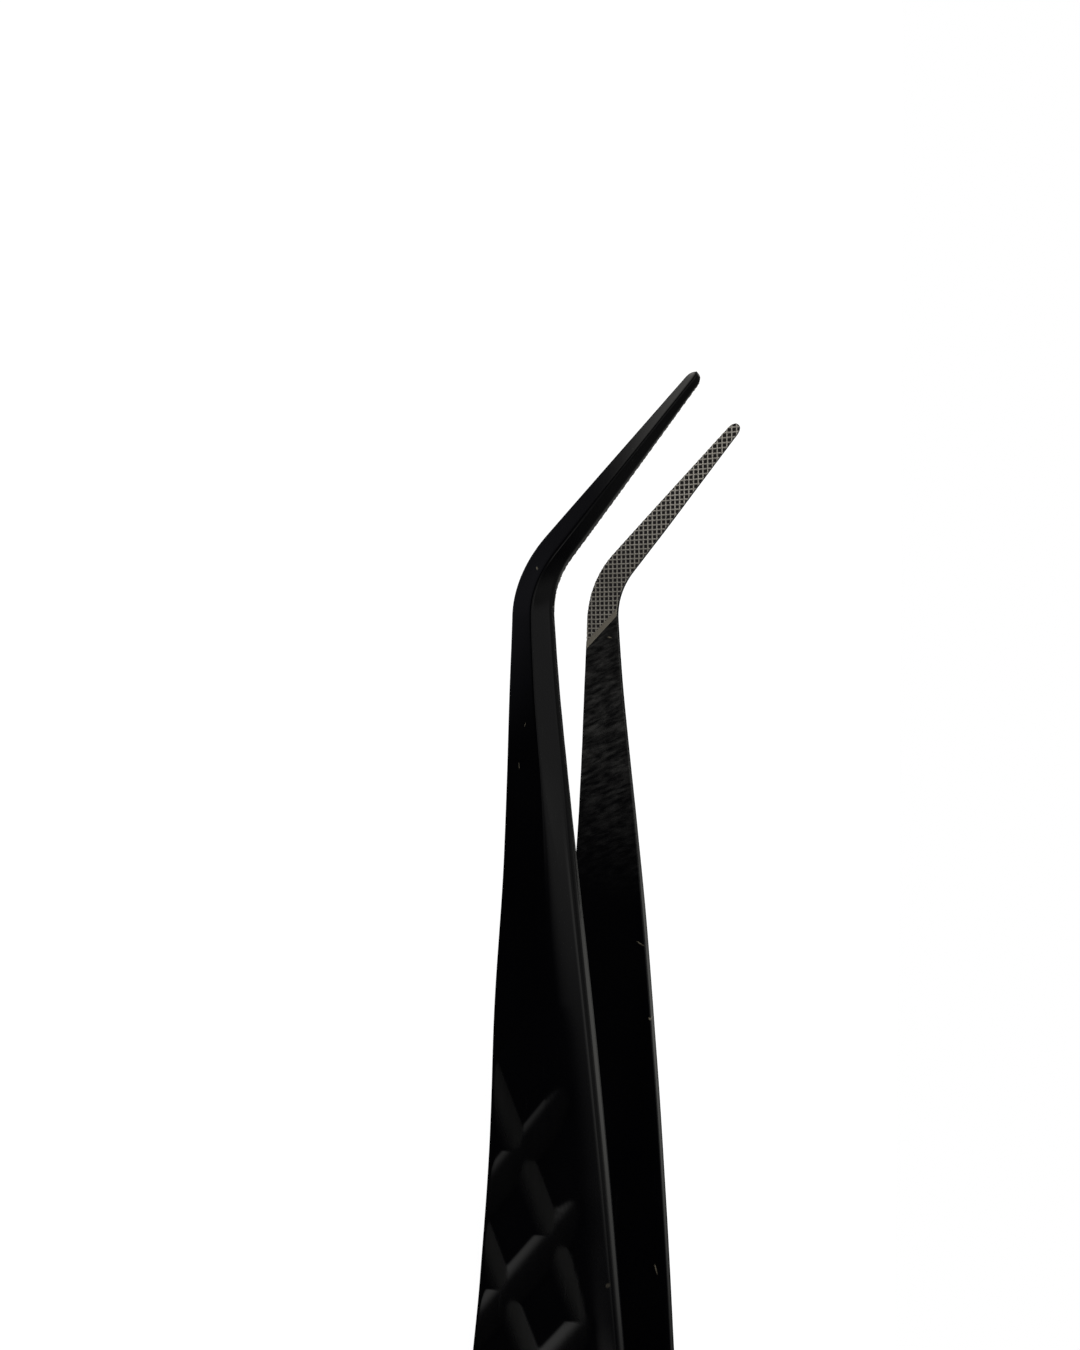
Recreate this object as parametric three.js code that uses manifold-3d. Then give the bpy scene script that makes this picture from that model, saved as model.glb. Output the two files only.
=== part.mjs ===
// Angled lash tweezers with etched grip pads and a diamond-cut handle, in millimetres.
// +X runs from the tail to the tips, +Z is the way the tips bend, and the arms open along Y,
// mirror images of each other about y = 0. They lie on their lower edges, on z = 0, as they
// would on a bench, and the two rest open: the tips are as far apart as the sprung arms hold them.
import * as THREE from "three";
import { mergeVertices } from "three/addons/utils/BufferGeometryUtils.js";
import Module from "manifold-3d";

const wasm = await Module();
wasm.setup();

// Lengths along an arm's centre line. Behind the bend they are the same as x.
const TAIL_END = -65.25;
const WELD_END = -54; // the two arms are welded flat together behind this
const LEAF_END = -38; // between the weld and this, each arm is a thin leaf that flexes
const HANDLE_END = 36;
const SHANK_END = 50;
const BEND_START = 54.18;
const BEND_RADIUS = 5;
const BEND_ANGLE = THREE.MathUtils.degToRad(42.5);
const TIP_LENGTH = 10.37;
const TIP_START = BEND_START + BEND_RADIUS * BEND_ANGLE;
const TIP_END = TIP_START + TIP_LENGTH;
const TAIL_ROUND = 3.4; // how far the tail's round end reaches
const TIP_ROUND = 0.45;

// Half the distance between the arms' inner faces, against x.
const halfGap = through([
  [TAIL_END, 0], [WELD_END, 0], [LEAF_END, 1.15], [-11, 2.75], [11, 3.82],
  [27, 4.39], [43, 4.88], [54, 4.97], [65.25, 5.02],
]);
// The outline of an arm: its centre line's height and its half width, along the centre line.
const centreHeight = through([
  [TAIL_END, 4.9], [1, 4.9], [11, 4.94], [19, 5.19], [27, 5.33], [35, 5.27], [41, 5.22],
  [46, 5.13], [51, 5.03], [BEND_START, 5.02],
]);
const halfWidth = through([
  [TAIL_END, 3.2], [WELD_END, 3.9], [-23, 4.9], [1, 4.9], [11, 4.43], [19, 3.7], [27, 3],
  [35, 2.4], [41, 1.88], [46, 1.49], [51, 1.14], [BEND_START, 0.96], [TIP_START, 0.83],
  [TIP_END, 0.31],
]);
// Across an arm: from the inner face the upper edge stands square up to its side height, leans
// in a little up to its shoulder, and is bevelled from there up to the full thickness.
const thickness = through([
  [TAIL_END, 1.2], [WELD_END, 1.2], [-46, 1], [LEAF_END, 1.15], [-5, 1.75], [36, 1.75],
  [44, 1.61], [51, 1.53], [TIP_START, 1.42], [TIP_END, 0.56],
]);
const sideHeight = through([
  [TAIL_END, 0.6], [WELD_END, 0.6], [-46, 0.45], [LEAF_END, 0.55], [-20, 0.6], [35, 0.6],
  [42, 0.45], [46, 0.35], [51, 0.3], [BEND_START, 0.28], [TIP_START, 0.22], [TIP_END, 0.12],
]);
const upperShoulder = through([
  [TAIL_END, 0.95], [WELD_END, 0.95], [-46, 0.8], [LEAF_END, 0.9], [-20, 1], [35, 1],
  [42, 0.85], [46, 0.7], [51, 0.62], [BEND_START, 0.58], [TIP_START, 0.42], [TIP_END, 0.26],
]);
const upperBevel = through([
  [TAIL_END, 0.25], [LEAF_END, 0.3], [-20, 1.2], [27, 1.2], [36, 1.1], [44, 0.85], [51, 0.71],
  [BEND_START, 0.62], [TIP_START, 0.34], [TIP_END, 0.13],
]);
// The lower edge has next to no bevel along the handle, whose flutes run out over it. Ahead of
// the handle its bevel takes up the outer face, and meets the upper bevel in a ridge.
const lowerShoulder = through([
  [TAIL_END, 0.95], [WELD_END, 0.95], [-46, 0.8], [LEAF_END, 0.9], [-20, 1.5], [32, 1.5],
  [42, 1.1], [BEND_START, 1.02], [TIP_START, 0.5], [TIP_END, 0.3],
]);
const lowerBevel = through([[TAIL_END, 0.25], [LEAF_END, 0.3], [-20, 0.4], [31, 0.4], [38, 6]]);
const ridgeWidth = through([[38, 0.9], [42, 0.6], [47, 0.15], [TIP_END, 0.1]]);
const SHOULDER_LEAN = 0.09; // how far in the upper edge leans, as a share of the lean's height

// The grip pad: an etched layer let into the inner face, ahead of a line at 45 degrees.
const PAD_DEPTH = 0.25;
const PAD_CLEARANCE = 0.02;
const PAD_BORDER = new THREE.Vector3(53.52, 0, 5.1);

// The diamond cut: two families of round-bottomed flutes across the handle's outer face. One
// flute of each meets at the crossing, and the others are a step higher or lower.
const FLUTE_RADIUS = 2.04;
const FLUTE_DEPTH = 0.2;
const FLUTE_SIDES = 24;
const CROSSING = { x: 22.4, z: 5.9 };
const FLUTES = [
  { slope: -0.41, step: -4.4, first: 0, last: 4 },
  { slope: 0.745, step: 4.8, first: -1, last: 6 },
];
const HANDLE_HEIGHT = 9.8;

// Two spot welds hold the tails together, each a disc of metal in facing pockets.
const NUGGETS = { weld_nugget_rear: -61, weld_nugget_front: -56.6 };
const NUGGET_RADIUS = 1.2;
const NUGGET_DEPTH = 0.4;
const POCKET_GAP = 0.3;

const coating = new THREE.MeshStandardMaterial({ color: 0x0b0b0e, roughness: 0.4, metalness: 0.5 });
const etched = new THREE.MeshStandardMaterial({ color: 0x8d877c, roughness: 0.5, metalness: 0.9 });
const weldMetal = new THREE.MeshStandardMaterial({ color: 0x4a4a4c, roughness: 0.6, metalness: 0.9 });

// A smooth curve through [position, value] stations that never overshoots them.
function through(stations) {
  const slopes = stations.slice(1).map(([x, v], i) => (v - stations[i][1]) / (x - stations[i][0]));
  const tangents = stations.map((_, i) => {
    const before = slopes[Math.max(i - 1, 0)];
    const after = slopes[Math.min(i, slopes.length - 1)];
    return before * after <= 0 ? 0 : (2 * before * after) / (before + after);
  });
  return (x) => {
    let i = stations.length - 2;
    while (i > 0 && x < stations[i][0]) i--;
    const span = stations[i + 1][0] - stations[i][0];
    const t = THREE.MathUtils.clamp((x - stations[i][0]) / span, 0, 1);
    const rise = stations[i + 1][1] - stations[i][1];
    const ease = t * t * (3 - 2 * t);
    const leave = t * (1 - t) * (1 - t) * span * tangents[i];
    const arrive = t * t * (1 - t) * span * tangents[i + 1];
    return stations[i][1] + ease * rise + leave - arrive;
  };
}

// The centre line in the XZ plane, with the direction across it.
function centreLine(along) {
  if (along <= BEND_START) return { x: along, z: centreHeight(along), turn: 0 };
  const turn = Math.min((along - BEND_START) / BEND_RADIUS, BEND_ANGLE);
  const straight = Math.max(along - TIP_START, 0);
  return {
    x: BEND_START + BEND_RADIUS * Math.sin(turn) + straight * Math.cos(turn),
    z: centreHeight(BEND_START) + BEND_RADIUS * (1 - Math.cos(turn)) + straight * Math.sin(turn),
    turn,
  };
}

// A point of the near arm: across is measured from the centre line, out from the inner face.
function armPoint(along, across, out) {
  const line = centreLine(along);
  const x = line.x - across * Math.sin(line.turn);
  const z = line.z + across * Math.cos(line.turn);
  return new THREE.Vector3(x, halfGap(x) + out, z);
}

// How much of its width an arm has left in the round ends of the tail and the tip.
function roundEnd(along) {
  const tail = THREE.MathUtils.clamp(1 - (along - TAIL_END) / TAIL_ROUND, 0, 1);
  const tip = THREE.MathUtils.clamp(1 - (TIP_END - along) / TIP_ROUND, 0, 1);
  return Math.sqrt(1 - Math.max(tail, tip) ** 2);
}

function armRing(along) {
  const rounding = roundEnd(along);
  const width = halfWidth(along) * rounding;
  const upper = upperBevel(along) * rounding;
  const most = 2 * width - upper - ridgeWidth(along) * rounding;
  const lower = Math.min(lowerBevel(along) * rounding, most);
  const lean = SHOULDER_LEAN * (upperShoulder(along) - sideHeight(along)) * rounding;
  const corners = [
    [-width, 0],
    [width, 0],
    [width, sideHeight(along)],
    [width - lean, upperShoulder(along)],
    [width - upper, thickness(along)],
    [-width + lower, thickness(along)],
    [-width, lowerShoulder(along)],
  ];
  return corners.map(([across, out]) => armPoint(along, across, out));
}

// A closed mesh through rings of points, which turn clockwise when seen along their run.
function loft(rings) {
  const count = rings[0].length;
  const index = [];
  for (let i = 0; i + 1 < rings.length; i++) {
    for (let j = 0; j < count; j++) {
      const a = i * count + j;
      const b = i * count + ((j + 1) % count);
      index.push(a, b + count, b, a, a + count, b + count);
    }
  }
  const last = (rings.length - 1) * count;
  for (let j = 1; j + 1 < count; j++) {
    index.push(0, j, j + 1, last, last + j + 1, last + j);
  }
  const geometry = new THREE.BufferGeometry().setFromPoints(rings.flat());
  geometry.setIndex(index);
  return geometry;
}

function toSolid(geometry) {
  const plain = geometry.clone();
  plain.deleteAttribute("normal");
  plain.deleteAttribute("uv");
  const merged = mergeVertices(plain, 1e-5);
  return new wasm.Manifold(
    new wasm.Mesh({
      numProp: 3,
      vertProperties: new Float32Array(merged.attributes.position.array),
      triVerts: new Uint32Array(merged.index.array),
    }),
  );
}

function toGeometry(solid) {
  const { vertProperties, triVerts } = solid.getMesh();
  const geometry = new THREE.BufferGeometry();
  geometry.setAttribute("position", new THREE.BufferAttribute(vertProperties, 3));
  geometry.setIndex(new THREE.BufferAttribute(triVerts, 1));
  return geometry;
}

// The far arm's copy of a near arm's shape.
function mirrored(geometry) {
  const copy = geometry.clone().scale(1, -1, 1);
  const index = copy.index.array;
  for (let i = 0; i < index.length; i += 3) {
    [index[i + 1], index[i + 2]] = [index[i + 2], index[i + 1]];
  }
  return copy;
}

// The layer of the inner face that the grip pad takes up, grown by a clearance.
function padLayer(clearance) {
  const reach = 3;
  const rings = [];
  for (let along = 49; along < TIP_END + 1; along += 1) {
    const corners = [
      [-reach, -1],
      [reach, -1],
      [reach, PAD_DEPTH + clearance],
      [-reach, PAD_DEPTH + clearance],
    ];
    rings.push(corners.map(([across, out]) => armPoint(along, across, out)));
  }
  const ahead = 50;
  const half = new THREE.BoxGeometry(ahead, ahead, ahead);
  half.translate(ahead / 2 - clearance, 0, 0);
  half.rotateY(Math.PI / 4);
  half.translate(PAD_BORDER.x, PAD_BORDER.y, PAD_BORDER.z);
  return toSolid(loft(rings)).intersect(toSolid(half));
}

// One flute's cutter, laid along the outer face from below the handle to above it.
function fluteCutter(slope, height) {
  const end = (z) => {
    const x = CROSSING.x + (z - CROSSING.z - height) / slope;
    const axis = halfGap(x) + thickness(x) - FLUTE_DEPTH + FLUTE_RADIUS;
    return new THREE.Vector3(x, axis, z);
  };
  const low = end(-1);
  const high = end(HANDLE_HEIGHT + 1);
  const run = new THREE.Vector3().subVectors(high, low);
  const cutter = new THREE.CylinderGeometry(FLUTE_RADIUS, FLUTE_RADIUS, run.length(), FLUTE_SIDES);
  const lean = new THREE.Quaternion().setFromUnitVectors(
    new THREE.Vector3(0, 1, 0),
    run.clone().normalize(),
  );
  cutter.applyQuaternion(lean);
  const middle = new THREE.Vector3().addVectors(low, high).multiplyScalar(0.5);
  cutter.translate(middle.x, middle.y, middle.z);
  return toSolid(cutter);
}

// The blank ahead of the leaf, between two of these stations.
function bladeStations() {
  const stations = [LEAF_END, -29, -20, -11, -5, 1, 11, 19, 27, 31, 33, HANDLE_END, 41, 46];
  stations.push(SHANK_END);
  const bendSteps = 5;
  for (let i = 0; i <= bendSteps; i++) {
    stations.push(THREE.MathUtils.lerp(BEND_START, TIP_START, i / bendSteps));
  }
  stations.push(61, 64, TIP_END - TIP_ROUND, TIP_END - 0.08, TIP_END - 0.01);
  return stations;
}

function bladeBetween(start, end) {
  const rings = bladeStations().filter((along) => along >= start && along <= end);
  return toSolid(loft(rings.map(armRing)));
}

function makeHandle() {
  let cut = bladeBetween(LEAF_END, HANDLE_END);
  for (const { slope, step, first, last } of FLUTES) {
    for (let i = first; i <= last; i++) {
      cut = cut.subtract(fluteCutter(slope, i * step));
    }
  }
  return cut;
}

function makeTail() {
  const roundSteps = [0.06, 0.4, 1, 1.9, TAIL_ROUND];
  const rings = [...roundSteps.map((step) => TAIL_END + step), WELD_END].map(armRing);
  let tail = toSolid(loft(rings));
  for (const x of Object.values(NUGGETS)) {
    const radius = NUGGET_RADIUS + POCKET_GAP;
    const pocket = new THREE.CylinderGeometry(radius, radius, 2 * NUGGET_DEPTH, 24);
    pocket.translate(x, 0, centreHeight(x));
    tail = tail.subtract(toSolid(pocket));
  }
  return tail;
}

function makeLeaf() {
  return loft([WELD_END, -50, -46, -42, LEAF_END].map(armRing));
}

const tweezers = new THREE.Group();

function add(name, geometry, material) {
  geometry.computeVertexNormals();
  const mesh = new THREE.Mesh(geometry, material);
  mesh.name = name;
  tweezers.add(mesh);
}

function addPair(name, geometry, material) {
  add(`near_${name}`, geometry, material);
  add(`far_${name}`, mirrored(geometry), material);
}

const tip = bladeBetween(SHANK_END, TIP_END);
addPair("tail", toGeometry(makeTail()), coating);
addPair("spring_leaf", makeLeaf(), coating);
addPair("handle", toGeometry(makeHandle()), coating);
addPair("shank", toGeometry(bladeBetween(HANDLE_END, SHANK_END)), coating);
addPair("bent_tip", toGeometry(tip.subtract(padLayer(PAD_CLEARANCE))), coating);
addPair("tip_pad", toGeometry(tip.intersect(padLayer(0))), etched);

for (const [name, x] of Object.entries(NUGGETS)) {
  const disc = new THREE.CylinderGeometry(NUGGET_RADIUS, NUGGET_RADIUS, 2 * NUGGET_DEPTH, 24);
  disc.translate(x, 0, centreHeight(x));
  add(name, disc, weldMetal);
}

export default tweezers;
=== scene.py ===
"""Looks for the angled lash tweezers: the arms' fine surface, the etched pads, materials and light.

Lengths are in millimetres until a mesh is made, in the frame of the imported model: +X from the
tail to the tips, +Z the way the tips bend, and the arms mirror images of each other about y = 0.
"""
import math

import bpy
import numpy as np
from mathutils import Matrix, Vector


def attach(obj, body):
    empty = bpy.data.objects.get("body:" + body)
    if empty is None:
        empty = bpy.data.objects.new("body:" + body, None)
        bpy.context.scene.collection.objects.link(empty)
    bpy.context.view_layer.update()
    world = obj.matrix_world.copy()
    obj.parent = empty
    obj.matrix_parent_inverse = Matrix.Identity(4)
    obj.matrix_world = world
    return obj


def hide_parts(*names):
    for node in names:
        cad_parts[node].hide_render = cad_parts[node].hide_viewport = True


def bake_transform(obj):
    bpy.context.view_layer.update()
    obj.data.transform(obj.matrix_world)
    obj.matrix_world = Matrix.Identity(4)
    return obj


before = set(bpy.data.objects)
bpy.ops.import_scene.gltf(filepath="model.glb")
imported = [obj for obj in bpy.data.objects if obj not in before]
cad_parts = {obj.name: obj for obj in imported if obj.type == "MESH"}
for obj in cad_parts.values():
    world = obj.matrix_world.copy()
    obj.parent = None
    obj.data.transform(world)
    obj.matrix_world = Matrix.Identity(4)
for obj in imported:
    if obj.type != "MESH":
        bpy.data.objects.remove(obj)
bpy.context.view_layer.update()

MM = 0.001


def through(stations):
    """A smooth curve through (position, value) stations that never overshoots them."""
    at, value = (np.array(column, float) for column in zip(*stations))
    slope = np.diff(value) / np.diff(at)
    before = np.r_[slope[0], slope]
    after = np.r_[slope, slope[-1]]
    agree = before * after > 0
    tangent = np.where(agree, 2 * before * after / np.where(agree, before + after, 1), 0)

    def curve(x):
        i = np.clip(np.searchsorted(at, x, side="right") - 1, 0, len(at) - 2)
        span = at[i + 1] - at[i]
        t = np.clip((x - at[i]) / span, 0, 1)
        ease = t * t * (3 - 2 * t)
        leave = t * (1 - t) ** 2 * span * tangent[i]
        arrive = t * t * (1 - t) * span * tangent[i + 1]
        return value[i] + ease * (value[i + 1] - value[i]) + leave - arrive

    return curve


def fade(x, start, end):
    """0 before start, 1 after end, and smooth between them."""
    t = np.clip((x - start) / (end - start), 0, 1)
    return t * t * (3 - 2 * t)


# The arms' shape, the same as the CAD part's. Lengths along an arm's centre line.
TAIL_END = -65.25
WELD_END = -54
LEAF_END = -38
BEND_START = 54.18
BEND_RADIUS = 5
BEND_ANGLE = math.radians(42.5)
TIP_LENGTH = 10.37
TIP_START = BEND_START + BEND_RADIUS * BEND_ANGLE
TIP_END = TIP_START + TIP_LENGTH
TAIL_ROUND = 3.4
TIP_ROUND = 0.45

half_gap = through([
    (TAIL_END, 0), (WELD_END, 0), (LEAF_END, 1.15), (-11, 2.75), (11, 3.82),
    (27, 4.39), (43, 4.88), (54, 4.97), (65.25, 5.02),
])
centre_height = through([
    (TAIL_END, 4.9), (1, 4.9), (11, 4.94), (19, 5.19), (27, 5.33), (35, 5.27), (41, 5.22),
    (46, 5.13), (51, 5.03), (BEND_START, 5.02),
])
half_width = through([
    (TAIL_END, 3.2), (WELD_END, 3.9), (-23, 4.9), (1, 4.9), (11, 4.43), (19, 3.7), (27, 3),
    (35, 2.4), (41, 1.88), (46, 1.49), (51, 1.14), (BEND_START, 0.96), (TIP_START, 0.83),
    (TIP_END, 0.31),
])
thickness = through([
    (TAIL_END, 1.2), (WELD_END, 1.2), (-46, 1), (LEAF_END, 1.15), (-5, 1.75), (36, 1.75),
    (44, 1.61), (51, 1.53), (TIP_START, 1.42), (TIP_END, 0.56),
])
side_height = through([
    (TAIL_END, 0.6), (WELD_END, 0.6), (-46, 0.45), (LEAF_END, 0.55), (-20, 0.6), (35, 0.6),
    (42, 0.45), (46, 0.35), (51, 0.3), (BEND_START, 0.28), (TIP_START, 0.22), (TIP_END, 0.12),
])
upper_shoulder = through([
    (TAIL_END, 0.95), (WELD_END, 0.95), (-46, 0.8), (LEAF_END, 0.9), (-20, 1), (35, 1),
    (42, 0.85), (46, 0.7), (51, 0.62), (BEND_START, 0.58), (TIP_START, 0.42), (TIP_END, 0.26),
])
upper_bevel = through([
    (TAIL_END, 0.25), (LEAF_END, 0.3), (-20, 1.2), (27, 1.2), (36, 1.1), (44, 0.85), (51, 0.71),
    (BEND_START, 0.62), (TIP_START, 0.34), (TIP_END, 0.13),
])
lower_shoulder = through([
    (TAIL_END, 0.95), (WELD_END, 0.95), (-46, 0.8), (LEAF_END, 0.9), (-20, 1.5), (32, 1.5),
    (42, 1.1), (BEND_START, 1.02), (TIP_START, 0.5), (TIP_END, 0.3),
])
lower_bevel = through([(TAIL_END, 0.25), (LEAF_END, 0.3), (-20, 0.4), (31, 0.4), (38, 6)])
ridge_width = through([(38, 0.9), (42, 0.6), (47, 0.15), (TIP_END, 0.1)])
SHOULDER_LEAN = 0.09

# Each corner of the section is rounded; the crease between the bevel and the outer face is soft
# along the handle. The shares are of the sides that meet there, before and after the corner, and
# keep a rounding from running past its side. The counts are the faces over each corner's rounding
# and over the side after it.
EDGE_ROUND = 0.04
SHOULDER_ROUND = 0.22
crease_round = through([
    (TAIL_END, 0.2), (LEAF_END, 0.3), (-20, 1.3), (35, 1.3), (38, 1.1), (42, 0.5), (47, 0.12),
    (BEND_START, 0.06), (TIP_END, 0.05),
])
LOWER_ROUND = 0.08
ROUND_BEFORE = (0.4, 0.4, 0.4, 0.48, 0.82, 0.48, 0.48)
ROUND_AFTER = (0.4, 0.4, 0.48, 0.16, 0.48, 0.48, 0.48)
CORNER_FACES = (2, 2, 2, 3, 12, 2, 2)
SIDE_FACES = (14, 2, 2, 5, 46, 12, 3)

# The diamond cut across the handle's outer face: two families of grooves, whose grooves number 0
# cross at CROSSING. Slope is a groove's rise in z along x, and step the grooves' spacing in z.
# A family's painted_sheen is how much painted highlight, a lighter grey in the colour, it shows on
# its grooves' lit side; the same share roughens the cut.
FLUTE_HALF_WIDTH = 0.88
FLUTE_SQUARENESS = 2.2
FLUTE_SPAN = 1.3
FLUTE_BLUNT = 0.035
FLUTE_BLEND = 0.03
FLUTE_REACH = 0.5
FLUTE_SHEEN = 0.09
LIT_SIDE = (-1.1, 0.1)
UNCUT = 99.0
CROSSING = (22.4, 5.9)
FLUTES = [
    {"slope": -0.41, "step": -4.4, "first": 0, "last": 4, "painted_sheen": 1.0, "depth": 0.17},
    {"slope": 0.745, "step": 4.8, "first": -1, "last": 6, "painted_sheen": 0.3, "depth": 0.2},
]

# The grip pad stands ahead of a line at 45 degrees through PAD_BORDER, and the blank's inner
# face behind that line is filed a little lower, which fades out down the shank.
PAD_BORDER = (53.52, 5.1)
PAD_STEP = 0.05
PAD_SEAT = 0.12
PAD_SINK = 0.04
PAD_INSET = 0.012
PAD_TIP_GAP = 0.02
PAD_ROWS = 560
PAD_COLUMNS = 61
SEAT_START = 0.12
FILED_START = 36.0
FILED_FULL = 50.0
FILED_END = 0.15
FILED_WANDER = 0.012
STEP_FULL = 42.5

# The pad's etched grid, ahead of a plain strip along its border.
PIT_PITCH = 0.278
PIT_DEPTH = 0.05
PIT_SHARE = 0.74
PIT_SLOPE = 0.13
PIT_ROW_SHIFT = 0.35
PLAIN_STRIP = 0.3
STRIP_SLOPE = 0.03

# The CAD's stretches of an arm that one skin replaces, and the dimples that welding leaves.
STRETCHES = ("tail", "spring_leaf", "handle", "shank", "bent_tip")
WELD_SPOTS = (-61, -56.6)
SPOT_RADIUS = 1.3
SPOT_FLAT = 0.75
SPOT_DEPTH = 0.09

# How far out from the inner face a point of the section must be to belong to each finish.
INNER_WITHIN = 0.3
FLUTED_BEYOND = 0.5
SPOTTED_BEYOND = 0.9


def centre_line(along):
    """The centre line's x and z, and how far it has turned up."""
    turn = np.clip((along - BEND_START) / BEND_RADIUS, 0, BEND_ANGLE)
    straight = np.maximum(along - TIP_START, 0)
    before = np.minimum(along, BEND_START)
    x = before + BEND_RADIUS * np.sin(turn) + straight * math.cos(BEND_ANGLE)
    z = centre_height(before) + BEND_RADIUS * (1 - np.cos(turn)) + straight * math.sin(BEND_ANGLE)
    return x, z, turn


def place(along, across):
    """The x and z of a point of an arm, across measured from its centre line."""
    x, z, turn = centre_line(along)
    return x - across * np.sin(turn), z + across * np.cos(turn)


def round_end(along):
    """The share of the full width that is left by the rounded tail and tip."""
    tail = np.clip(1 - (along - TAIL_END) / TAIL_ROUND, 0, 1)
    tip = np.clip(1 - (TIP_END - along) / TIP_ROUND, 0, 1)
    return np.sqrt(1 - np.maximum(tail, tip) ** 2)


def run_of(*stretches):
    """Positions along an arm: each stretch is (start, end, spacing)."""
    parts = [
        np.linspace(start, end, max(2, round((end - start) / spacing) + 1))[:-1]
        for start, end, spacing in stretches
    ]
    return np.concatenate(parts + [[stretches[-1][1]]])


def section(along):
    """The rounded outline of an arm's section at each position, as (across, out) points."""
    rounding = round_end(along)
    width = half_width(along) * rounding
    upper = upper_bevel(along) * rounding
    most = 2 * width - upper - ridge_width(along) * rounding
    lower = np.minimum(lower_bevel(along) * rounding, most)
    lean = SHOULDER_LEAN * (upper_shoulder(along) - side_height(along)) * rounding
    zero = np.zeros_like(along)
    corners = np.stack([
        np.stack([-width, zero], -1),
        np.stack([width, zero], -1),
        np.stack([width, side_height(along)], -1),
        np.stack([width - lean, upper_shoulder(along)], -1),
        np.stack([width - upper, thickness(along)], -1),
        np.stack([-width + lower, thickness(along)], -1),
        np.stack([-width, lower_shoulder(along)], -1),
    ], 1)
    reach = np.stack([
        zero + EDGE_ROUND, zero + EDGE_ROUND, zero + EDGE_ROUND, zero + SHOULDER_ROUND,
        crease_round(along), zero + LOWER_ROUND, zero + LOWER_ROUND,
    ], 1)
    ahead = np.roll(corners, -1, 1) - corners
    length = np.maximum(np.linalg.norm(ahead, axis=2), 1e-6)
    unit = ahead / length[..., None]
    back = np.roll(unit, 1, 1)
    before = np.minimum(reach, np.roll(length, 1, 1) * ROUND_BEFORE)
    after = np.minimum(reach, length * ROUND_AFTER)
    enter = corners - before[..., None] * back
    leave = corners + after[..., None] * unit
    points = []
    for i, (bend, flat) in enumerate(zip(CORNER_FACES, SIDE_FACES)):
        for step in range(bend):
            t = step / bend
            pull = 2 * t * (1 - t) * corners[:, i]
            points.append((1 - t) ** 2 * enter[:, i] + pull + t * t * leave[:, i])
        arrive = enter[:, (i + 1) % len(SIDE_FACES)]
        for step in range(flat):
            t = step / flat
            points.append((1 - t) * leave[:, i] + t * arrive)
    return np.stack(points, 1)


def past_border(x, z):
    """How far a point is ahead of the pad's border."""
    return ((x - PAD_BORDER[0]) - (z - PAD_BORDER[1])) / math.sqrt(2)


def flute_floor(x, z, full):
    """The height the diamond cut leaves above the inner face, and the painted sheen on each
    groove's lit side there.
    """
    height = np.full_like(x, UNCUT)
    painted_sheen = np.zeros_like(x)
    for family in FLUTES:
        slope = family["slope"]
        for i in range(family["first"], family["last"] + 1):
            rise = z - CROSSING[1] - i * family["step"] - slope * (x - CROSSING[0])
            off = rise / math.hypot(1, slope) / FLUTE_HALF_WIDTH
            cut = full - family["depth"] * (1 - np.abs(off) ** FLUTE_SQUARENESS)
            cut = np.where(np.abs(off) < FLUTE_SPAN, cut, UNCUT)
            deeper = fade(height - cut, -FLUTE_BLEND, FLUTE_BLEND)
            painted_sheen += deeper * (family["painted_sheen"] * fade(off, *LIT_SIDE) - painted_sheen)
            height = np.minimum(height, cut)
    return height, painted_sheen


def relief(along, points):
    """The section's points with the flutes, the weld spots and the filed face worked in.

    Gives each point's x, z and out, how filed the surface is there, and how fluted: the flutes'
    rough finish with a painted sheen on each groove's lit side.
    """
    across = points[..., 0]
    smooth = points[..., 1]
    along = np.broadcast_to(along[:, None], across.shape)
    x, z = place(along, across)
    cut, painted_sheen = flute_floor(x, z, thickness(x))
    above = smooth - cut
    blunted = 0.5 * (smooth + cut - np.sqrt(above ** 2 + FLUTE_BLUNT ** 2))
    out = np.where(above > -FLUTE_REACH, blunted, smooth)
    # The flutes' share roughens the cut, and in the colour it is a painted sheen on each groove's
    # lit side.
    flute_finish_and_sheen = fade(above, 0, FLUTE_SHEEN) * painted_sheen * (smooth > FLUTED_BEYOND)
    for spot in WELD_SPOTS:
        off = np.hypot(x - spot, z - centre_height(x)) / SPOT_RADIUS
        out = out - SPOT_DEPTH * (1 - fade(off, SPOT_FLAT, 1)) * (smooth > SPOTTED_BEYOND)
    past = past_border(x, z)
    wander = FILED_WANDER * np.sin(2.1 * x + 1.3 * z) * np.sin(0.9 * x - 2.7 * z)
    seat = np.where(past > SEAT_START, PAD_SEAT, PAD_STEP + wander)
    out = np.maximum(out, fade(x, FILED_START, STEP_FULL) * seat)
    inner = (smooth < INNER_WITHIN) * (past < FILED_END)
    return x, z, out, fade(x, FILED_START, FILED_FULL) * inner, flute_finish_and_sheen


def make_mesh(name, points, faces, masks):
    """A smooth mesh object; each mask is a value for every point that the materials read."""
    mesh = bpy.data.meshes.new(name)
    mesh.from_pydata((points * MM).tolist(), [], faces)
    mesh.shade_smooth()
    for mask, values in masks.items():
        attribute = mesh.attributes.new(mask, "FLOAT", "POINT")
        attribute.data.foreach_set("value", values.astype(np.float32).ravel())
    thing = bpy.data.objects.new(name, mesh)
    bpy.context.scene.collection.objects.link(thing)
    return thing


def skin(rows, columns, flip, wrap):
    """Quads over a grid of rows and columns of points."""
    last = columns if wrap else columns - 1
    row, column = np.meshgrid(np.arange(rows - 1), np.arange(last), indexing="ij")
    nxt = (column + 1) % columns
    quads = np.stack([
        row * columns + column, (row + 1) * columns + column,
        (row + 1) * columns + nxt, row * columns + nxt,
    ], -1).reshape(-1, 4)
    return (quads[:, ::-1] if flip else quads).tolist()


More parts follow.
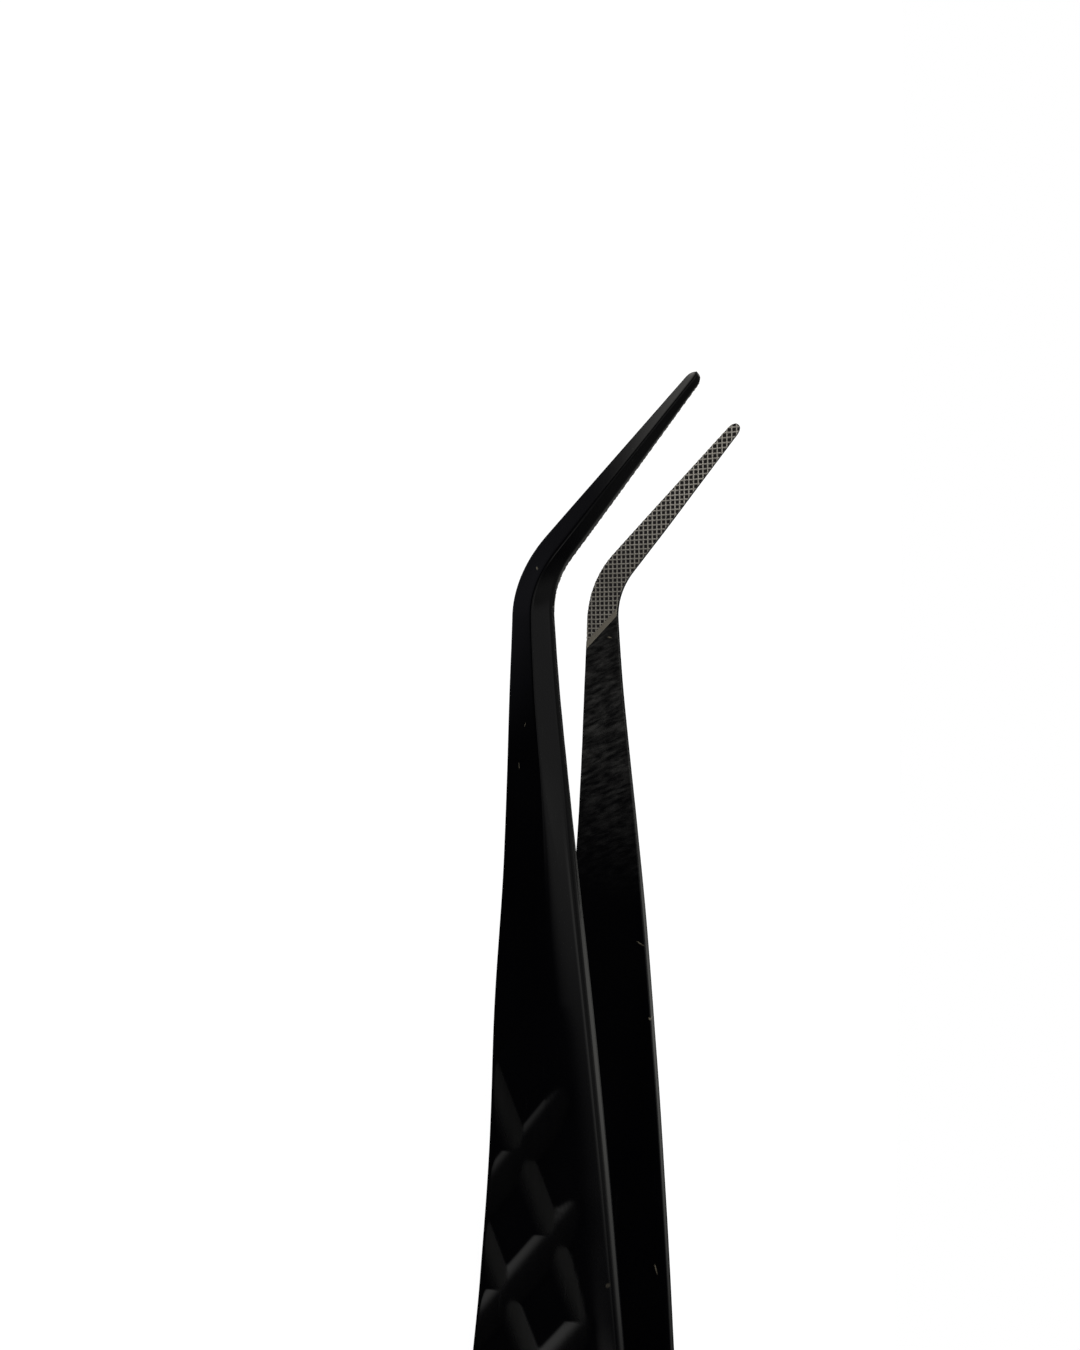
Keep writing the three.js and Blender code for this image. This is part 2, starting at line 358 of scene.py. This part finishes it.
def make_arm(name, side):
    """One blank from tail to tip. The first and last rings stop just short of the rounded ends."""
    along = run_of(
        (TAIL_END + 0.003, TAIL_END + 0.1, 0.02), (TAIL_END + 0.1, WELD_END, 0.25),
        (WELD_END, LEAF_END, 0.5), (LEAF_END, -22, 0.3), (-22, 33, 0.12), (33, 50, 0.2),
        (50, TIP_END - 0.3, 0.12), (TIP_END - 0.3, TIP_END - 0.002, 0.02),
    )
    points = section(along)
    rows, columns = points.shape[:2]
    x, z, out, filed, flute_finish_and_sheen = relief(along, points)
    y = side * (half_gap(x) + out)
    shape = np.stack([x, y, z], -1).reshape(-1, 3)
    faces = skin(rows, columns, side < 0, True)
    first = list(range(columns))
    last = [(rows - 1) * columns + i for i in range(columns)]
    faces.append(first if side > 0 else first[::-1])
    faces.append(last[::-1] if side > 0 else last)
    return make_mesh(name, shape, faces, {"filed": filed, "flute_finish_and_sheen": flute_finish_and_sheen})


def pit_depth(x, z):
    """The etched grid's square pits in rows and columns: 0 on the ridges and 1 in the pits."""
    def pit(position, shift):
        cell = np.abs((position / PIT_PITCH + shift) % 1 - 0.5) * 2
        return 1 - fade(cell, PIT_SHARE - PIT_SLOPE, PIT_SHARE + PIT_SLOPE)

    return pit(x, 0.0) * pit(z, PIT_ROW_SHIFT)


def border_start(across):
    """Where along an arm the pad's border crosses each share of the half width, by halving."""
    low = np.full_like(across, 50.0)
    high = np.full_like(across, TIP_START)
    for _ in range(40):
        middle = 0.5 * (low + high)
        x, z = place(middle, across * half_width(middle))
        ahead = past_border(x, z) > 0
        high = np.where(ahead, middle, high)
        low = np.where(ahead, low, middle)
    return high


def make_pad(name, side):
    """An etched pad: a closed plate whose inner face has the pits, sunk a little into its arm."""
    rows = PAD_ROWS
    columns = PAD_COLUMNS
    across = np.linspace(-1, 1, columns)
    start = border_start(across)
    end = TIP_END - PAD_TIP_GAP
    t = np.linspace(0, 1, rows)[:, None]
    along = start + (end - start) * t
    width = half_width(along) * round_end(along) - PAD_INSET
    x, z = place(along, across * width)
    hatched = fade(past_border(x, z), PLAIN_STRIP - STRIP_SLOPE, PLAIN_STRIP + STRIP_SLOPE)
    pits = pit_depth(x, z) * hatched
    top = np.stack([x, side * (half_gap(x) + PIT_DEPTH * pits), z], -1)
    base = np.stack([x, side * (half_gap(x) + PAD_SEAT + PAD_SINK), z], -1)
    count = rows * columns
    faces = skin(rows, columns, side < 0, False)
    rim = (
        list(range(columns))
        + [i * columns + columns - 1 for i in range(1, rows)]
        + [(rows - 1) * columns + i for i in range(columns - 2, -1, -1)]
        + [i * columns for i in range(rows - 2, 0, -1)]
    )
    wall = []
    for i, a in enumerate(rim):
        b = rim[(i + 1) % len(rim)]
        wall.append((a, b, count + b, count + a) if side > 0 else (count + a, count + b, b, a))
    under = [[count + i for i in reversed(face)] for face in faces]
    points = np.concatenate([top.reshape(-1, 3), base.reshape(-1, 3)])
    masks = {
        "pit": np.concatenate([pits.ravel(), np.zeros(count)]),
        "plain": np.concatenate([(1 - hatched).ravel(), np.zeros(count)]),
    }
    return make_mesh(name, points, faces + wall + under, masks)


class Nodes:
    """A small helper that adds nodes to a tree and joins them."""

    def __init__(self, tree):
        self.tree = tree
        tree.nodes.clear()

    def add(self, kind, inputs=None, **settings):
        node = self.tree.nodes.new(kind)
        for key, value in settings.items():
            setattr(node, key, value)
        for key, value in (inputs or {}).items():
            if isinstance(value, bpy.types.NodeSocket):
                self.tree.links.new(value, node.inputs[key])
            else:
                node.inputs[key].default_value = value
        return node

    def maths(self, operation, a, b=0.0):
        return self.add("ShaderNodeMath", {0: a, 1: b}, operation=operation).outputs[0]

    def spread(self, value, low, high, to_low, to_high, curve="LINEAR"):
        """The value's range from low to high spread over another, and held beyond its ends."""
        inputs = {
            "Value": value, "From Min": low, "From Max": high, "To Min": to_low, "To Max": to_high,
        }
        node = self.add("ShaderNodeMapRange", inputs, interpolation_type=curve)
        return node.outputs["Result"]

    def mix(self, share, a, b):
        """A blend of the colours a and b; 6, 7 and 2 are the node's colour sockets."""
        node = self.add("ShaderNodeMix", {0: share, 6: a, 7: b}, data_type="RGBA")
        return node.outputs[2]

    def noise(self, vector, scale, detail=3.0, roughness=0.5):
        inputs = {"Vector": vector, "Scale": scale, "Detail": detail, "Roughness": roughness}
        return self.add("ShaderNodeTexNoise", inputs).outputs["Fac"]

    def mask(self, name):
        return self.add("ShaderNodeAttribute", attribute_name=name).outputs["Fac"]

    def stretched(self, size, turn=0.0):
        """Object coordinates turned about Y, in units of a feature's size in metres."""
        here = self.add("ShaderNodeTexCoord").outputs["Object"]
        inputs = {"Vector": here, "Rotation": (0, turn, 0), "Scale": size}
        return self.add("ShaderNodeMapping", inputs, vector_type="TEXTURE").outputs[0]


def new_material(name):
    material = bpy.data.materials.new(name)
    material.use_nodes = True
    return material, Nodes(material.node_tree)


# Small bare scuffs and nicks: the middle, the half length and half width in mm, the turn about Y
# in degrees, and how bare it is if not wholly.
NICKS = [
    {"at": (46.7, 6.19, 4.45), "half": (0.2, 0.028), "turn": 4},
    {"at": (48.8, 6.33, 4.87), "half": (0.15, 0.022), "turn": -20},
    {"at": (56.5, 6.21, 5.56), "half": (0.13, 0.07), "turn": 35},
    {"at": (20.4, 5.25, 8.59), "half": (0.15, 0.12), "turn": 0, "bare": 0.2},
    {"at": (34.4, -4.68, 7.46), "half": (0.3, 0.04), "turn": 65},
    {"at": (29.9, -4.67, 8.05), "half": (0.13, 0.07), "turn": 30},
    {"at": (14.7, -3.96, 8.5), "half": (0.35, 0.05), "turn": 15},
    {"at": (53.1, -5.01, 5.5), "half": (0.16, 0.05), "turn": 80},
]


def black_coating():
    """Glossy black coating, satin in the diamond cut and rough where the blank is filed. The cut's
    lighter grey on its lit side is a painted sheen, and the filed face's light streaks are file
    marks with painted glints.
    """
    material, nodes = new_material("black_coating")
    here = nodes.add("ShaderNodeTexCoord").outputs["Object"]
    filed = nodes.mask("filed")
    flute_finish_and_sheen = nodes.mask("flute_finish_and_sheen")
    cloud = nodes.noise(here, 260.0, 4.0)
    speckle = nodes.noise(here, 2200.0, 4.0, 0.65)
    grain = nodes.noise(nodes.stretched((8e-3, 3e-4, 3e-4)), 1.0, 4.0, 0.6)
    scratch = nodes.noise(nodes.stretched((12e-3, 2.2e-4, 2.2e-4), math.radians(-3)), 1.0, 1.0)
    scratched = nodes.spread(scratch, 0.72, 0.78, 0, 1)
    streaks = nodes.noise(nodes.stretched((2e-4, 3e-4, 9e-4), math.radians(25)), 1.0, 3.0, 0.55)
    lumps = nodes.noise(nodes.stretched((5e-4, 5e-4, 9e-4), math.radians(25)), 1.0, 3.0, 0.55)

    satin = nodes.spread(cloud, 0.3, 0.7, 0.12, 0.18)
    worn = nodes.maths("ADD", satin, nodes.maths("MULTIPLY", scratched, 0.15))
    cut = nodes.maths("ADD", worn, nodes.maths("MULTIPLY", flute_finish_and_sheen, 0.25))
    rough = nodes.maths("ADD", cut, nodes.maths("MULTIPLY", filed, 0.14))

    fine = nodes.maths("MULTIPLY", speckle, 0.3)
    smooth = nodes.maths("ADD", nodes.maths("MULTIPLY", grain, 0.5), fine)
    coarse = nodes.maths("MULTIPLY", lumps, 24.0)
    rasp = nodes.maths("ADD", nodes.maths("MULTIPLY", streaks, 14.0), coarse)
    height = nodes.maths("ADD", smooth, nodes.maths("MULTIPLY", rasp, filed))
    bump = nodes.add("ShaderNodeBump", {"Height": height, "Strength": 1.0, "Distance": 0.000003})

    black = nodes.mix(cloud, (0.0003, 0.0003, 0.0005, 1), (0.0008, 0.0008, 0.001, 1))
    # The lighter grey on the flutes is a painted sheen: the coating is lighter on each groove's lit
    # side, more for the first family.
    sheen_grey = nodes.mix(grain, (0.0015, 0.0015, 0.0015, 1), (0.0046, 0.0046, 0.0045, 1))
    # The filed face's lighter streaks are partly real file marks and partly painted glints: the
    # scratches' reflections are painted into the colour.
    streaked = nodes.spread(streaks, 0.36, 0.68, 0.1, 1)
    mark_and_glint_share = nodes.maths("MULTIPLY", streaked, nodes.spread(lumps, 0.35, 0.62, 0.3, 1))
    file_marks_and_glints = nodes.mix(mark_and_glint_share, (0.001, 0.001, 0.0012, 1), (0.025, 0.0245, 0.0235, 1))
    coated = nodes.mix(filed, nodes.mix(flute_finish_and_sheen, black, sheen_grey), file_marks_and_glints)

    bare = 0.0
    for nick in NICKS:
        half_length, half_width = nick["half"]
        place_at = nodes.add("ShaderNodeMapping", {
            "Vector": here, "Location": [v * MM for v in nick["at"]],
            "Rotation": (0, math.radians(nick["turn"]), 0),
            "Scale": (half_length * MM, 0.5 * MM, half_width * MM),
        }, vector_type="TEXTURE")
        off = nodes.add("ShaderNodeVectorMath", {0: place_at.outputs[0]}, operation="LENGTH")
        shown = nodes.spread(off.outputs["Value"], 0.5, 1.0, nick.get("bare", 1.0), 0.0)
        bare = nodes.maths("ADD", shown, bare)
    scuffed = nodes.maths("MULTIPLY", bare, nodes.spread(speckle, 0.35, 0.6, 0.2, 1.0))
    colour = nodes.mix(scuffed, coated, (0.13, 0.115, 0.085, 1))
    shader = nodes.add("ShaderNodeBsdfPrincipled", {
        "Base Color": colour, "Roughness": rough, "Normal": bump.outputs[0],
        "IOR": 1.5, "Metallic": 0.0,
    })
    nodes.add("ShaderNodeOutputMaterial", {"Surface": shader.outputs[0]})
    return material


def etched_steel():
    """Bare steel with a burnt crosshatch: bright ridges, sooty pits, browner towards the heel."""
    material, nodes = new_material("etched_steel")
    here = nodes.add("ShaderNodeTexCoord").outputs["Object"]
    pit = nodes.mask("pit")
    plain = nodes.mask("plain")
    blotch = nodes.noise(here, 900.0, 4.0, 0.6)
    grit = nodes.noise(here, 9000.0, 2.0)
    ridge = nodes.mix(blotch, (0.28, 0.262, 0.228, 1), (0.53, 0.5, 0.445, 1))
    towards_tip = nodes.add("ShaderNodeSeparateXYZ", {0: here}).outputs[0]
    # The ridges turn darker and browner towards the heel: half the dark brown behind x = 57 mm,
    # none past 62.5 mm.
    heel_share = nodes.spread(towards_tip, 57 * MM, 62.5 * MM, 0.5, 0.0)
    heel_darkened = nodes.mix(heel_share, ridge, (0.07, 0.064, 0.052, 1))
    tinted = nodes.mix(nodes.maths("MULTIPLY", plain, 0.85), heel_darkened, (0.18, 0.162, 0.13, 1))
    colour = nodes.mix(pit, tinted, (0.02, 0.018, 0.018, 1))
    rough = nodes.spread(grit, 0.3, 0.7, 0.34, 0.52)
    bump = nodes.add("ShaderNodeBump", {"Height": grit, "Strength": 0.6, "Distance": 0.000006})
    shader = nodes.add("ShaderNodeBsdfPrincipled", {
        "Base Color": colour, "Roughness": rough, "Normal": bump.outputs[0], "Metallic": 0.5,
    })
    nodes.add("ShaderNodeOutputMaterial", {"Surface": shader.outputs[0]})
    return material


def weld_metal():
    """The weld nuggets' rough bare steel."""
    material, nodes = new_material("weld_metal")
    here = nodes.add("ShaderNodeTexCoord").outputs["Object"]
    blotch = nodes.noise(here, 1200.0, 4.0, 0.6)
    colour = nodes.mix(blotch, (0.16, 0.15, 0.15, 1), (0.36, 0.35, 0.34, 1))
    rough = nodes.spread(blotch, 0.3, 0.7, 0.45, 0.7)
    bump = nodes.add("ShaderNodeBump", {"Height": blotch, "Strength": 0.5, "Distance": 0.00002})
    shader = nodes.add("ShaderNodeBsdfPrincipled", {
        "Base Color": colour, "Roughness": rough, "Normal": bump.outputs[0], "Metallic": 1.0,
    })
    nodes.add("ShaderNodeOutputMaterial", {"Surface": shader.outputs[0]})
    return material


def make_tweezers():
    """The arms and pads over the CAD's, and the CAD's own weld nuggets with their material."""
    coating = black_coating()
    steel = etched_steel()
    for name, side in (("near", 1), ("far", -1)):
        arm = make_arm(f"{name}_arm_blank", side)
        arm.data.materials.append(coating)
        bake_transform(arm)
        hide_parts(*(f"{name}_{stretch}" for stretch in STRETCHES))
        pad = make_pad(f"{name}_etched_pad", side)
        pad.data.materials.append(steel)
        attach(pad, f"{name}_arm")
        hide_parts(f"{name}_tip_pad")
    nugget_metal = weld_metal()
    for name in ("weld_nugget_rear", "weld_nugget_front"):
        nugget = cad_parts[name]
        nugget.data.materials.clear()
        nugget.data.materials.append(nugget_metal)


# What shines into the gloss: panels of sky, each a range of the direction's x, y and z. A range is
# (dark, full, full, dark) from its low end to its high end; None leaves that end open, and an axis
# that isn't named is open both ways. The last four are there for views from the sides and behind,
# and the others are what the main view mirrors.
SKY = [
    {"x": (-0.72, -0.1, None, None), "y": (-0.05, 0.2, None, None), "z": (0.2, 0.75, None, None),
     "colour": (0.22, 0.22, 0.215)},
    {"x": (-0.2, 0.0, None, None), "y": (-0.5, -0.35, -0.05, 0.2), "z": (0.2, 0.75, None, None),
     "colour": (0.22, 0.22, 0.215)},
    {"x": (-0.75, -0.35, -0.2, -0.02), "y": (-0.1, 0.1, 0.25, 0.5), "z": (0.7, 0.85, None, None),
     "colour": (0.3, 0.3, 0.285)},
    {"x": (-0.65, -0.35, -0.2, 0.0), "y": (-0.5, -0.3, -0.15, 0.0), "z": (0.6, 0.8, None, None),
     "colour": (0.12, 0.12, 0.115)},
    {"x": (-0.75, -0.4, None, None), "y": (None, None, -0.5, -0.3), "z": (0.35, 0.55, None, None),
     "colour": (0.06, 0.06, 0.057)},
    {"x": (-0.75, -0.35, -0.25, -0.1), "y": (None, None, -0.75, -0.6), "z": (0.2, 0.3, 0.42, 0.5),
     "colour": (0.34, 0.34, 0.322)},
    {"x": (-0.52, -0.38, -0.2, 0.05), "y": (None, None, -0.6, -0.4), "z": (None, None, 0.15, 0.25),
     "colour": (0.15, 0.15, 0.142)},
    {"x": (0.62, 0.93, None, None), "z": (None, None, -0.2, 0.1), "colour": (1.9, 1.86, 1.78)},
    {"x": (-0.15, 0.1, 0.2, 0.9), "z": (None, None, -0.8, -0.6), "colour": (0.1, 0.1, 0.115)},
    {"x": (0.15, 0.5, None, None), "z": (0.0, 0.35, None, None), "colour": (0.8, 0.8, 0.78)},
    {"x": (-0.3, 0.0, None, None), "y": (0.9, 0.98, None, None), "z": (-0.12, 0.0, None, None),
     "colour": (0.3, 0.3, 0.29)},
    {"x": (None, None, -0.76, -0.62), "y": (-0.35, -0.2, None, None), "z": (0.2, 0.45, None, None),
     "colour": (0.6, 0.6, 0.58)},
    {"x": (None, None, -0.9, -0.75), "colour": (0.4, 0.4, 0.39)},
]
OPEN = (None, None, None, None)
DARK_SKY = (0.006, 0.006, 0.007)


def make_sky():
    """A dark world with the soft panels added up over it."""
    world = bpy.data.worlds.new("studio")
    world.use_nodes = True
    bpy.context.scene.world = world
    nodes = Nodes(world.node_tree)
    direction = nodes.add("ShaderNodeTexCoord").outputs["Generated"]
    axes = nodes.add("ShaderNodeSeparateXYZ", {0: direction}).outputs

    total = DARK_SKY
    for panel in SKY:
        share = 1.0
        for axis, name in zip(axes, "xyz"):
            dark_low, full_low, full_high, dark_high = panel.get(name, OPEN)
            if full_low is not None:
                rise = nodes.spread(axis, dark_low, full_low, 0.0, 1.0, "SMOOTHSTEP")
                share = nodes.maths("MULTIPLY", rise, share)
            if full_high is not None:
                fall = nodes.spread(axis, full_high, dark_high, 1.0, 0.0, "SMOOTHSTEP")
                share = nodes.maths("MULTIPLY", fall, share)
        scaled = {0: panel["colour"], "Scale": share}
        light = nodes.add("ShaderNodeVectorMath", scaled, operation="SCALE").outputs[0]
        total = nodes.add("ShaderNodeVectorMath", {0: total, 1: light}, operation="ADD").outputs[0]
    background = nodes.add("ShaderNodeBackground", {"Color": total, "Strength": 1.0})
    nodes.add("ShaderNodeOutputWorld", {"Surface": background.outputs[0]})


# Where the key light comes from.
KEY_FROM = (0.15, 0.75, 0.65)


def make_key_light():
    """A wide soft light from above on the near side, which the gloss doesn't mirror."""
    data = bpy.data.lights.new("key", "SUN")
    data.energy = 3.0
    data.angle = math.radians(45)
    key = bpy.data.objects.new("key", data)
    key.rotation_euler = Vector(KEY_FROM).to_track_quat("Z", "Y").to_euler()
    key.visible_glossy = False
    bpy.context.scene.collection.objects.link(key)


def only_seen(thing):
    """The camera sees this piece of the stage, and it neither lights the object nor shows in it."""
    thing.visible_glossy = False
    thing.visible_diffuse = False
    thing.visible_transmission = False
    thing.visible_shadow = False


def make_stage():
    """A white backdrop all round and a pale floor just under the tweezers."""
    reach = 4.0
    bpy.ops.mesh.primitive_uv_sphere_add(segments=48, ring_count=24, radius=reach)
    backdrop = bpy.context.object
    backdrop.name = "backdrop"
    material, nodes = new_material("backdrop")
    glow = nodes.add("ShaderNodeEmission", {"Color": (1, 1, 1, 1), "Strength": 1.0})
    nodes.add("ShaderNodeOutputMaterial", {"Surface": glow.outputs[0]})
    backdrop.data.materials.append(material)
    only_seen(backdrop)

    bpy.ops.mesh.primitive_circle_add(vertices=64, radius=reach * 0.98, fill_type="NGON")
    floor = bpy.context.object
    floor.name = "floor"
    floor.location.z = -0.02 * MM
    material, nodes = new_material("pale_floor")
    glow = nodes.add("ShaderNodeEmission", {"Color": (1, 1, 1, 1), "Strength": 0.97})
    matt = nodes.add("ShaderNodeBsdfDiffuse", {"Color": (0.1, 0.1, 0.1, 1)})
    both = nodes.add("ShaderNodeAddShader", {0: glow.outputs[0], 1: matt.outputs[0]})
    nodes.add("ShaderNodeOutputMaterial", {"Surface": both.outputs[0]})
    floor.data.materials.append(material)
    only_seen(floor)


# The camera looks across the arms from the near side and a little above, with +X up the picture.
CAMERA_PLACE = (52.97, 44.69, 22.19)
CAMERA_VIEW = (-0.0409, -0.918, -0.3944)
CAMERA_UP = (0.9991, -0.0421, -0.0055)
SENSOR = 36
FOCAL_LENGTH = 22.6667


def make_camera():
    data = bpy.data.cameras.new("camera")
    data.sensor_width = SENSOR
    data.lens = FOCAL_LENGTH
    data.clip_start = 0.002
    data.clip_end = 20
    camera = bpy.data.objects.new("camera", data)
    bpy.context.scene.collection.objects.link(camera)
    view = Vector(CAMERA_VIEW).normalized()
    right = view.cross(Vector(CAMERA_UP)).normalized()
    up = right.cross(view)
    turn = Matrix((right, up, -view)).transposed().to_4x4()
    camera.matrix_world = Matrix.Translation(Vector(CAMERA_PLACE) * MM) @ turn
    bpy.context.scene.camera = camera


make_tweezers()
make_sky()
make_key_light()
make_stage()
make_camera()
bpy.context.scene.view_settings.view_transform = "Standard"
